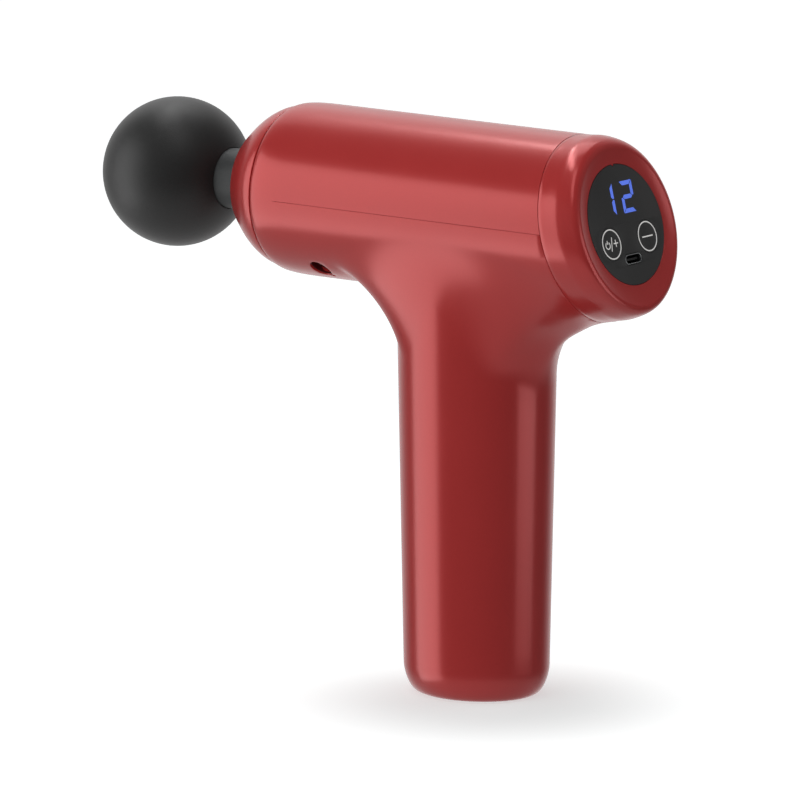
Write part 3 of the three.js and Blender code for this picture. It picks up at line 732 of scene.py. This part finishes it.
# ------------------------------------------------------------------ charging port and panel tab
plate("usb_shell_fine", [stadium(USB_W, USB_H, 0, USB_Y), stadium(USB_W - 0.56, USB_H - 0.56, 0, USB_Y)],
      -5.8, -0.06, STEEL, "housing", "usb_shell", edge=0.06, slot="steel")
plate("usb_tongue_fine", [stadium(6.7, 0.7, 0, USB_Y, r=0.2)], -5.2, -1.0, DARK, "housing", "usb_tongue",
      edge=0.05, slot="grey_plastic")
plate("usb_back", [stadium(8.2, 2.5, 0, USB_Y)], -5.7, -4.9, DARK, "housing", slot="grey_plastic")
plate("panel_tab", [stadium(0.9, 1.1, 0, PANEL_R + 0.2, r=0.1)], -1.7, -0.05, RED, "housing", edge=0.05,
      slot="shell_red")

# ------------------------------------------------------------------ CAD pieces that stay
LOOKS = {
    "front_damper": RUBBER, "stem_oring_front": RUBBER, "stem_oring_rear": RUBBER,
    "display_module": GREY, "power_plus_switch": DARK, "minus_switch": DARK, "drive_frame": NYLON,
    "cell_holder_bottom": NYLON, "cell_holder_top": NYLON, "driver_capacitor": NYLON, "guide_bush": ACETAL,
    "battery_connector": ACETAL, "motor_connector": ACETAL, "motor_base": ALLOY, "piston": ALLOY,
    "stator_core": CORE, "magnet_ring": CORE, "control_pcb": BOARD, "driver_board": BOARD,
    "battery_lead_red": LEAD_RED, "battery_lead_black": LEAD_BLACK,
}
for name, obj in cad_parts.items():
    look = LOOKS.get(name)
    if look is None:
        look = COPPER if name.startswith("stator_coil") else WRAP if name.startswith("cell_") else STEEL
    for cad_slot in obj.material_slots:
        cad_slot.material = look

# ------------------------------------------------------------------ floor
FLOOR_HALF = 12.0              # metres
# the floor glows, less round the handle's foot, so that a soft shadow lies there on a pale ground
SHADOW_CENTRE = (0.017, -0.015, 0)
SHADOW_CORE, SHADOW_EDGE = 0.014, 0.090
CORE_GLOW, EDGE_GLOW = 0.56, 0.92

floor_data = bpy.data.meshes.new("floor")
floor_corners = [(x * FLOOR_HALF, y * FLOOR_HALF, 0) for x, y in ((-1, -1), (1, -1), (1, 1), (-1, 1))]
floor_data.from_pydata(floor_corners, [], [(0, 1, 2, 3)])
floor = bpy.data.objects.new("floor", floor_data)
bpy.context.scene.collection.objects.link(floor)
floor_mat = bpy.data.materials.new("pale_floor")
floor_mat.use_nodes = True
ft = floor_mat.node_tree
fp = ft.nodes["Principled BSDF"]
fp.inputs["Base Color"].default_value = (0.50, 0.55, 0.55, 1)
fp.inputs["Roughness"].default_value = 0.9
fp.inputs["Specular IOR Level"].default_value = 0.0
fp.inputs["Emission Color"].default_value = (1, 1, 1, 1)
spot = node(ft, "ShaderNodeTexCoord")
offset = node(ft, "ShaderNodeVectorMath", operation="SUBTRACT")
offset.inputs[1].default_value = SHADOW_CENTRE
far = node(ft, "ShaderNodeVectorMath", operation="LENGTH")
glow = node(ft, "ShaderNodeMapRange", interpolation_type="SMOOTHSTEP")
for key, value in (("From Min", SHADOW_CORE), ("From Max", SHADOW_EDGE),
                   ("To Min", CORE_GLOW), ("To Max", EDGE_GLOW)):
    glow.inputs[key].default_value = value
ft.links.new(spot.outputs["Object"], offset.inputs[0])
ft.links.new(offset.outputs["Vector"], far.inputs[0])
ft.links.new(far.outputs["Value"], glow.inputs["Value"])
ft.links.new(glow.outputs["Result"], fp.inputs["Emission Strength"])
floor_data.materials.append(floor_mat)
floor.visible_glossy = False
floor.visible_shadow = False
floor.visible_diffuse = False

# ------------------------------------------------------------------ world
# white where it is seen straight on, dim as a light, with a brighter side and underside in reflections
BACKDROP = (-0.57, 0.79, 0.20)  # direction of the brighter side
AMBIENT = 0.13

world = bpy.data.worlds.new("studio")
bpy.context.scene.world = world
world.use_nodes = True
wt = world.node_tree
back = wt.nodes["Background"]
where = node(wt, "ShaderNodeTexCoord")
facing = node(wt, "ShaderNodeVectorMath", operation="DOT_PRODUCT")
facing.inputs[1].default_value = BACKDROP
wt.links.new(where.outputs["Generated"], facing.inputs[0])
low = node(wt, "ShaderNodeSeparateXYZ")
wt.links.new(where.outputs["Generated"], low.inputs[0])
seen = node(wt, "ShaderNodeLightPath")


def glow_term(source, start, end, shiny, plain):
    """Brightness that rises from start to end, stronger for reflections than for soft light."""
    rise = node(wt, "ShaderNodeMapRange", interpolation_type="SMOOTHSTEP")
    rise.inputs["From Min"].default_value = start
    rise.inputs["From Max"].default_value = end
    wt.links.new(source, rise.inputs["Value"])
    level = node(wt, "ShaderNodeMix", data_type="FLOAT")
    wt.links.new(seen.outputs["Is Glossy Ray"], level.inputs["Factor"])
    level.inputs["A"].default_value = plain
    level.inputs["B"].default_value = shiny
    out = node(wt, "ShaderNodeMath", operation="MULTIPLY")
    wt.links.new(rise.outputs["Result"], out.inputs[0])
    wt.links.new(level.outputs["Result"], out.inputs[1])
    return out.outputs["Value"]


both = node(wt, "ShaderNodeMath", operation="ADD")
wt.links.new(glow_term(facing.outputs["Value"], 0.40, 0.95, 0.74, 0.06), both.inputs[0])
wt.links.new(glow_term(low.outputs["Z"], -0.25, -0.60, 0.54, 0.05), both.inputs[1])
total = node(wt, "ShaderNodeMath", operation="ADD")
wt.links.new(both.outputs["Value"], total.inputs[0])
total.inputs[1].default_value = AMBIENT
pick = node(wt, "ShaderNodeMix", data_type="FLOAT")
wt.links.new(seen.outputs["Is Camera Ray"], pick.inputs["Factor"])
wt.links.new(total.outputs["Value"], pick.inputs["A"])
pick.inputs["B"].default_value = 1.0
back.inputs["Color"].default_value = (1, 1, 1, 1)
wt.links.new(pick.outputs["Result"], back.inputs["Strength"])
world.cycles.sampling_method = "NONE"


# ------------------------------------------------------------------ lights
AIM_Z = 0.13                   # metres; height of the point that the panels stand round
LIGHT_AWAY = 1.5               # metres from that point


def panel_light(name, direction, size, shine, soft=0.0, distance=LIGHT_AWAY, turn=0.0):
    """Light panel facing the object; shine is its radiance in reflections, soft that of its fill."""
    out = Vector(direction).normalized()
    for suffix, radiance in (("", shine), ("_soft", soft)):
        if radiance <= 0:
            continue
        light = bpy.data.lights.new(name + suffix, "AREA")
        light.shape = "RECTANGLE"
        light.size, light.size_y = size
        light.energy = radiance * pi * size[0] * size[1]
        obj = bpy.data.objects.new(name + suffix, light)
        bpy.context.scene.collection.objects.link(obj)
        obj.location = out * distance + Vector((0, 0, AIM_Z))
        aim = out.to_track_quat("Z", "Y").to_matrix() @ Matrix.Rotation(radians(turn), 3, "Z")
        obj.rotation_euler = aim.to_euler()
        obj.visible_diffuse = bool(suffix)
        obj.visible_glossy = not suffix


def softbox(name, azimuth, low, high, spread, shine):
    """Upright panel between two elevations, spread degrees wide."""
    a = radians(azimuth)
    lower, upper = tan(radians(low)), tan(radians(high))
    middle = (lower + upper) / 2
    wide = 2 * tan(radians(spread / 2))
    size = (LIGHT_AWAY * wide, LIGHT_AWAY * (upper - lower) / hypot(1, middle))
    panel_light(name, (cos(a), sin(a), middle), size, shine, distance=LIGHT_AWAY * hypot(1, middle))


softbox("key_left", -142.5, -34, 33, 43, 2.05)
softbox("fill_right", 15.5, -17, 18, 35, 1.4)
panel_light("soft_key", (-0.10, -0.95, 0.30), (1.6, 1.2), 0.0, soft=0.95)
panel_light("soft_top", (-0.15, -0.15, 0.98), (1.2, 1.2), 0.0, soft=0.95)
panel_light("soft_back", (0.50, 0.60, 0.60), (1.0, 1.0), 0.0, soft=0.75)
panel_light("top_back", (-0.62, 0.50, 0.60), (0.9, 0.9), 0.35)
panel_light("top_wide", (-0.25, 0.45, 0.86), (0.7, 0.7), 1.3)
panel_light("top_strip", (-0.375, 0.135, 0.917), (0.15, 1.1), 7.5, distance=1.48, turn=-38)
panel_light("top_front", (0.22, -0.36, 0.90), (0.45, 1.0), 1.6)

# ------------------------------------------------------------------ camera
CAM_AZIMUTH, CAM_ELEVATION, CAM_ROLL = 36.56, 10.67, 0.08
CAM_DISTANCE, CAM_LENS = 3.8774, 523.45  # metres, mm
CAM_AIM = Vector((-0.02712, -0.00656, 0.09648))

cam_data = bpy.data.cameras.new("camera")
cam_data.sensor_width = 36.0
cam_data.lens = CAM_LENS
cam_data.clip_end = 50.0
cam = bpy.data.objects.new("camera", cam_data)
bpy.context.scene.collection.objects.link(cam)
az, el, roll = radians(CAM_AZIMUTH), radians(CAM_ELEVATION), radians(CAM_ROLL)
away = Vector((sin(az) * cos(el), -cos(az) * cos(el), sin(el)))
level = Vector((cos(az), sin(az), 0))
upward = away.cross(level)
right = cos(roll) * level + sin(roll) * upward
up = cos(roll) * upward - sin(roll) * level
stand = CAM_AIM + CAM_DISTANCE * away
cam.matrix_world = Matrix(((right.x, up.x, away.x, stand.x), (right.y, up.y, away.y, stand.y),
                           (right.z, up.z, away.z, stand.z), (0, 0, 0, 1)))
bpy.context.scene.camera = cam
bpy.context.scene.view_settings.view_transform = "Standard"
